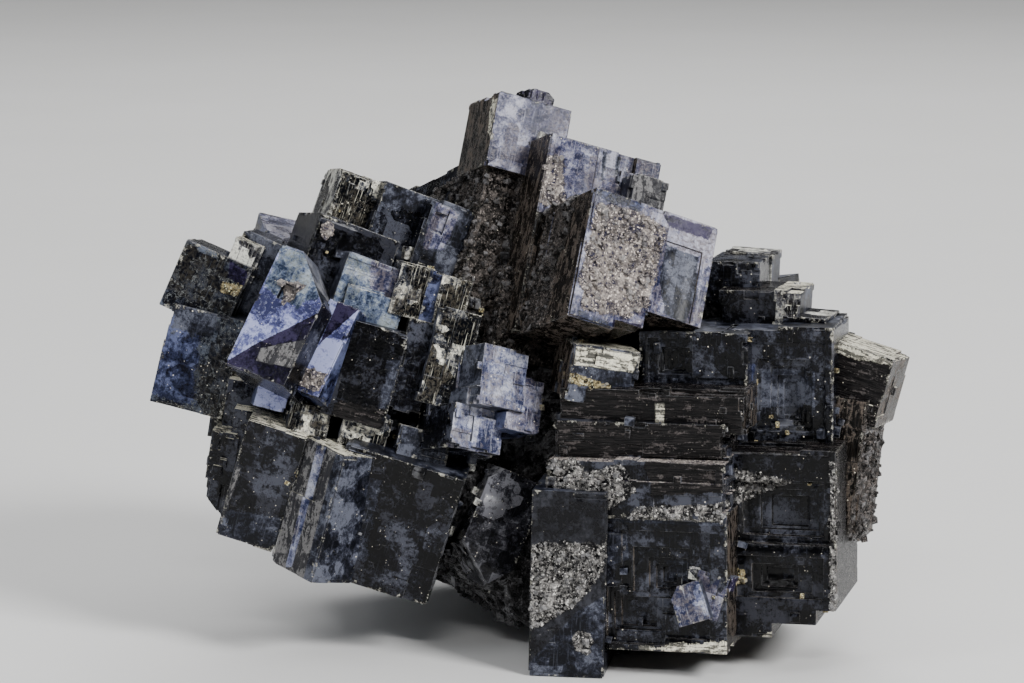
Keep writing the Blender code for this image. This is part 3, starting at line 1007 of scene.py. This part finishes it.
# crystal -> boxes added (True) or cut (False), as shares that Crystal.part takes
STEPS = {
    "hopper_right": [(False, (0.84, -0.2, 0.84), (1.2, 1.2, 1.2)),
                     (False, (0.48, -0.2, 0.92), (1.2, 1.2, 1.2))],
    "drusy_crystal": [(False, (0.575, -0.2, 0.79), (1.2, 1.2, 1.2)),
                      (False, (0.36, -0.2, 0.93), (1.2, 1.2, 1.2))],
    "upper_crystal": [(False, (0.62, -0.1, -0.1), (0.78, 0.05, 0.09)),
                      (False, (0.50, -0.1, -0.1), (0.66, 0.02, 0.16))],
    "left_end_crystal": [(True, (0.15, 0.25, -0.55), (1.25, 0.95, 0.10)),
                         (True, (0.45, 0.05, -0.28), (1.45, 0.70, 0.05)),
                         (True, (-0.20, 0.40, -0.24), (0.50, 0.90, 0.20))],
}


def extra_growth(crystal):
    """The hollows and steps that single crystals have."""
    for window, rings, depth in HOLLOWS.get(crystal.name, []):
        hopper(crystal, window, rings, depth)
    for fill, low, high in STEPS.get(crystal.name, []):
        crystal.part(fill, low, high)


def make_crystal(name, seed):
    crystal = Crystal(name, seed)
    grow(crystal, DRESS[name][0])
    extra_growth(crystal)
    points, quads = grid_mesh(crystal.steps)
    points = points - crystal.low
    matrix = crystal.turn.to_4x4()
    matrix.translation = crystal.world(crystal.low)
    piece = mesh_object(name + "_look", points, quads, matrix)
    bpy.context.view_layer.update()
    shape_off(piece, crystal, CAD_BOX[0][2])
    wear_edges(piece)
    slot = SLOT_OF[name]
    piece.data.materials.clear()
    piece.data.materials.append(crystal_material(name, 11.3 * seed, crystal.size()))
    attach(piece, "root")
    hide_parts(name)
    return piece, crystal


def make_massive():
    """The granular stone between the crystals: the hull of its solid, broken rough."""
    bm = bmesh.new()
    for vertex in NODES["massive_magnetite"].data.vertices:
        bm.verts.new(vertex.co)
    hull = bmesh.ops.convex_hull(bm, input=list(bm.verts))
    inner = set(hull["geom_interior"]) | set(hull["geom_unused"])
    bmesh.ops.delete(bm, geom=[part for part in inner if isinstance(part, bmesh.types.BMVert)],
                     context="VERTS")
    mesh = bpy.data.meshes.new("massive_magnetite_look")
    bm.to_mesh(mesh)
    bm.free()
    piece = add_object("massive_magnetite_look", mesh)
    remesh = piece.modifiers.new("remesh", "REMESH")
    remesh.mode = "VOXEL"
    remesh.voxel_size = 0.32 * MM
    bake_modifiers(piece)
    mesh = piece.data
    centre = Vector((0, 0.002, 0.018))
    for vertex in mesh.vertices:
        at = vertex.co
        p = at / MM
        chunk = noise.voronoi(p * 0.22, distance_metric="CHEBYCHEV")[0][0]
        rough = noise.fractal(p * 0.9, 0.9, 2.0, 4)
        inward = 0.2 + 1.9 * chunk + 0.25 * max(-0.8, rough)
        way = centre - at
        way.z *= 0.4
        vertex.co = at + way.normalized() * inward * MM
        vertex.co.z = max(vertex.co.z, CAD_BOX[0][2] + 0.02 * MM)
    mesh.materials.clear()
    mesh.materials.append(massive_material())
    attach(piece, "root")
    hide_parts("massive_magnetite")
    return piece


# ---------------------------------------------------------------- small crystals in the crevices

def worn_cube():
    """Corner points and faces of a unit cube with worn edges."""
    bm = bmesh.new()
    bmesh.ops.create_cube(bm, size=1.0)
    bmesh.ops.bevel(bm, geom=list(bm.edges), offset=0.05, segments=1, affect="EDGES")
    bmesh.ops.recalc_face_normals(bm, faces=list(bm.faces))
    points = np.array([v.co for v in bm.verts])
    faces = [[v.index for v in face.verts] for face in bm.faces]
    bm.free()
    return points, faces


def crevices(count, rng, reach, phase):
    """Places on the solids' surface with another surface close in front of them, in clusters, as
    (turn, place, way out, clear distance in mm)."""
    spots = []
    names = sorted(NODES)
    areas = np.array([sum(p.area for p in NODES[name].data.polygons) for name in names])
    while len(spots) < count:
        name = names[rng.choice(len(names), p=areas / areas.sum())]
        polygons = NODES[name].data.polygons
        polygon = polygons[int(rng.integers(0, len(polygons)))]
        if rng.random() > polygon.area / (4.0 * MM * MM):
            continue
        corners = [NODES[name].data.vertices[i].co for i in polygon.vertices[:3]]
        a, b = rng.random(2)
        if a + b > 1:
            a, b = 1 - a, 1 - b
        at = corners[0] + (corners[1] - corners[0]) * a + (corners[2] - corners[0]) * b
        way = (polygon.normal + Vector(rng.normal(0, 0.5, 3))).normalized()
        if way.dot(polygon.normal) < 0.3:
            continue
        if noise.noise(at / MM * 0.16 + Vector((phase, phase, 0))) < 0.08:
            continue
        hit = ALL_SOLIDS.ray_cast(at + polygon.normal * 0.02 * MM, way, reach * MM)
        if hit[0] is not None and hit[3] > 0.45 * MM:
            tilt = [a + rng.normal(0, 6) for a in TURN_OF.get(name, (-6, 14, -4))]
            spots.append((tilt, at, polygon.normal.copy(), hit[3] / MM))
    return spots


def crusted(piece, crystal, kind, rng, density):
    """Places on a crystal's patches of one look, for grains of crust: as crevices gives them."""
    spots = []
    solid = BVHTree.FromPolygons([v.co for v in piece.data.vertices],
                                 [p.vertices for p in piece.data.polygons])
    size = Vector(crystal.size())
    for look, face, ragged, corners in PATCHES.get(crystal.name, []):
        if look != kind:
            continue
        axis, side = FACES[face]
        across, down = ACROSS[axis]
        spots_wanted = int(density * size[across] * size[down])
        for u, v in rng.random((spots_wanted, 2)):
            if not inside_outline(u, v, corners):
                continue
            start = Vector((0, 0, 0))
            start[across] = u * size[across]
            start[down] = (1 - v) * size[down] if down == 2 else v * size[down]
            start[axis] = size[axis] + 1 if side else -1.0
            inward = Vector((0, 0, 0))
            inward[axis] = -1.0 if side else 1.0
            hit = solid.ray_cast(start * MM, inward, 4.0 * MM)
            if hit[0] is None:
                continue
            at = piece.matrix_world @ hit[0]
            lumps = noise.noise(at / MM * 0.9) + 0.5 * noise.noise(at / MM * 2.5)
            if lumps < -0.25 + 0.5 * rng.random() - ragged * 0.2:
                continue
            way = (piece.matrix_world.to_3x3() @ hit[1]).normalized()
            spots.append((tuple(rng.uniform(0, 90, 3)), at, way, 0.2 + 0.9 * rng.random() ** 3))
    return spots


def weathered(piece, rng, count, spread):
    """Places in clusters all over a rough piece, for grains that stand out of it."""
    spots = []
    polygons = piece.data.polygons
    while len(spots) < count:
        polygon = polygons[int(rng.integers(0, len(polygons)))]
        if noise.noise(polygon.center / MM * 0.28) + 0.6 * noise.noise(polygon.center / MM) < spread:
            continue
        spots.append((tuple(rng.uniform(0, 90, 3)), polygon.center.copy(), polygon.normal.copy(),
                      0.1 + 2.2 * rng.random() ** 4))
    return spots


def inside_outline(u, v, corners):
    turns = []
    for (u0, v0), (u1, v1) in zip(corners, corners[1:] + corners[:1]):
        turns.append((u1 - u0) * (v - v0) - (v1 - v0) * (u - u0) > 0)
    return all(turns) or not any(turns)


def small_crystals(name, kind, spots, rng, largest, shift):
    """Many small worn cubes at these places, each nearly half sunk in what it grows on."""
    unit, unit_faces = worn_cube()
    points, faces = [], []
    for turn, at, normal, room in spots:
        tilt = turned(turn)
        size = min(largest, 0.25 + 0.42 * room) * (0.35 + 0.65 * rng.random())
        shape = size * rng.uniform(0.6, 1.3, 3)
        middle = np.array(at) / MM + np.array(normal) * size * 0.12
        corner = unit * shape @ np.array(tilt).T + middle
        if corner[:, 2].min() * MM < CAD_BOX[0][2] + 0.0001:
            continue
        start = len(points)
        points.extend(map(tuple, corner * MM))
        faces.extend([start + i for i in face] for face in unit_faces)
    mesh = bpy.data.meshes.new(name)
    mesh.from_pydata(points, [], faces)
    piece = add_object(name, mesh)
    n = Nodes(name + "_surface", shift)
    mesh.materials.append(finish_look(n, skin(n, kind), painted_glints=0.8))
    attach(piece, "root")
    return piece


CREVICE_GROWTH = [
    # name, slot, look, count, largest cube in mm
    ("crevice_crystals_black", "black_crystal", "smoky", 420, 1.7),
    ("crevice_crystals_pale", "pale_crystal_face", "pale", 300, 1.1),
    ("crevice_crystals_blue", "blue_crystal_face", "slate", 240, 1.5),
    ("crevice_crust", "drusy_crust", "gold", 320, 0.55),
]

CRUSTS = [
    # name, slot, look, grains on a square mm, largest grain in mm
    ("druse_grains", "drusy_crust", "druse", 9.0, 0.62),
    ("silver_grains", "drusy_crust", "silver", 9.0, 0.50),
    ("gold_grains", "drusy_crust", "gold", 9.0, 0.50),
    ("rock_grains", "massive_magnetite", "rock", 5.0, 1.15),
]
grown = [make_crystal(node, number + 1) for number, node in enumerate(sorted(TURN_OF))]
massive = make_massive()
rng = np.random.default_rng(700)
small_crystals("massive_grains", "matrix", weathered(massive, rng, 3600, 0.0),
               rng, 1.3, 80.0)
small_crystals("massive_crystals", "smoky", weathered(massive, rng, 500, 0.25), rng,
               1.9, 81.0)
for number, (name, slot, kind, density, largest) in enumerate(CRUSTS):
    rng = np.random.default_rng(800 + number)
    spots = [spot for piece, crystal in grown for spot in crusted(piece, crystal, kind, rng, density)]
    small_crystals(name, kind, spots, rng, largest, 60.0 + number)
for number, (name, slot, kind, count, largest) in enumerate(CREVICE_GROWTH):
    rng = np.random.default_rng(900 + number)
    spots = crevices(count, rng, 2.4, 7.7 * number)
    small_crystals(name, kind, spots, rng, largest, 70.0 + number)


# ---------------------------------------------------------------- stage

AIM = (-1.54, -2.34, 24.9)   # where the camera looks, from the middle of the model's base, mm
CAMERA_TILT = 10.0           # degrees down
CAMERA_DISTANCE = 284.0      # mm
FOCAL_LENGTH = 120.0         # mm
SENSOR_WIDTH = 36.0          # mm
MIDDLE = (0, 0, 0.022)       # what the lights point at, m


def make_floor():
    mesh = bpy.data.meshes.new("floor")
    reach = 3.0
    mesh.from_pydata([(-reach, -reach, 0), (reach, -reach, 0), (reach, reach, 0), (-reach, reach, 0)],
                     [], [(0, 1, 2, 3)])
    floor = add_object("floor", mesh)
    floor.location.z = CAD_BOX[0][2] - 0.00002
    mesh.materials.append(floor_material())


def area_light(name, place, target, size, power, colour=(1, 1, 1)):
    light = bpy.data.lights.new(name, "AREA")
    light.shape = "RECTANGLE"
    light.size, light.size_y = size
    light.energy = power
    light.color = colour
    lamp = add_object(name, light)
    lamp.location = place
    lamp.rotation_euler = (Vector(target) - Vector(place)).to_track_quat("-Z", "Y").to_euler()


def make_camera():
    """A long lens in front of the specimen, a little above it and looking down."""
    low, high = CAD_BOX
    aim = Vector(((low[0] + high[0]) / 2 + AIM[0] * MM, (low[1] + high[1]) / 2 + AIM[1] * MM,
                  low[2] + AIM[2] * MM))
    tilt = math.radians(CAMERA_TILT)
    camera = bpy.data.cameras.new("camera")
    camera.lens = FOCAL_LENGTH
    camera.sensor_width = SENSOR_WIDTH
    camera.clip_start = 0.01
    eye = add_object("camera", camera)
    eye.location = aim + Vector((0, -math.cos(tilt), math.sin(tilt))) * CAMERA_DISTANCE * MM
    eye.rotation_euler = (math.radians(90) - tilt, 0, 0)
    bpy.context.scene.camera = eye


def make_world():
    world = bpy.data.worlds.new("world")
    world.use_nodes = True
    world.node_tree.nodes["Background"].inputs[0].default_value = (0.80, 0.84, 0.92, 1)
    world.node_tree.nodes["Background"].inputs[1].default_value = 0.06
    bpy.context.scene.world = world


make_floor()
make_world()
area_light("overhead", (0.0, 0.35, 1.15), (0, 0.30, 0), (1.7, 1.7), 11.0)
area_light("key", (0.36, -0.32, 0.36), MIDDLE, (0.16, 0.16), 4.2)
area_light("front_strip", (-0.06, -0.50, 0.42), MIDDLE, (0.22, 0.04), 0.9)
area_light("left", (-0.42, -0.26, 0.24), MIDDLE, (0.05, 0.22), 0.6, (0.90, 0.94, 1.0))
area_light("back", (0.05, 0.45, 0.42), MIDDLE, (0.35, 0.20), 1.4)
make_camera()
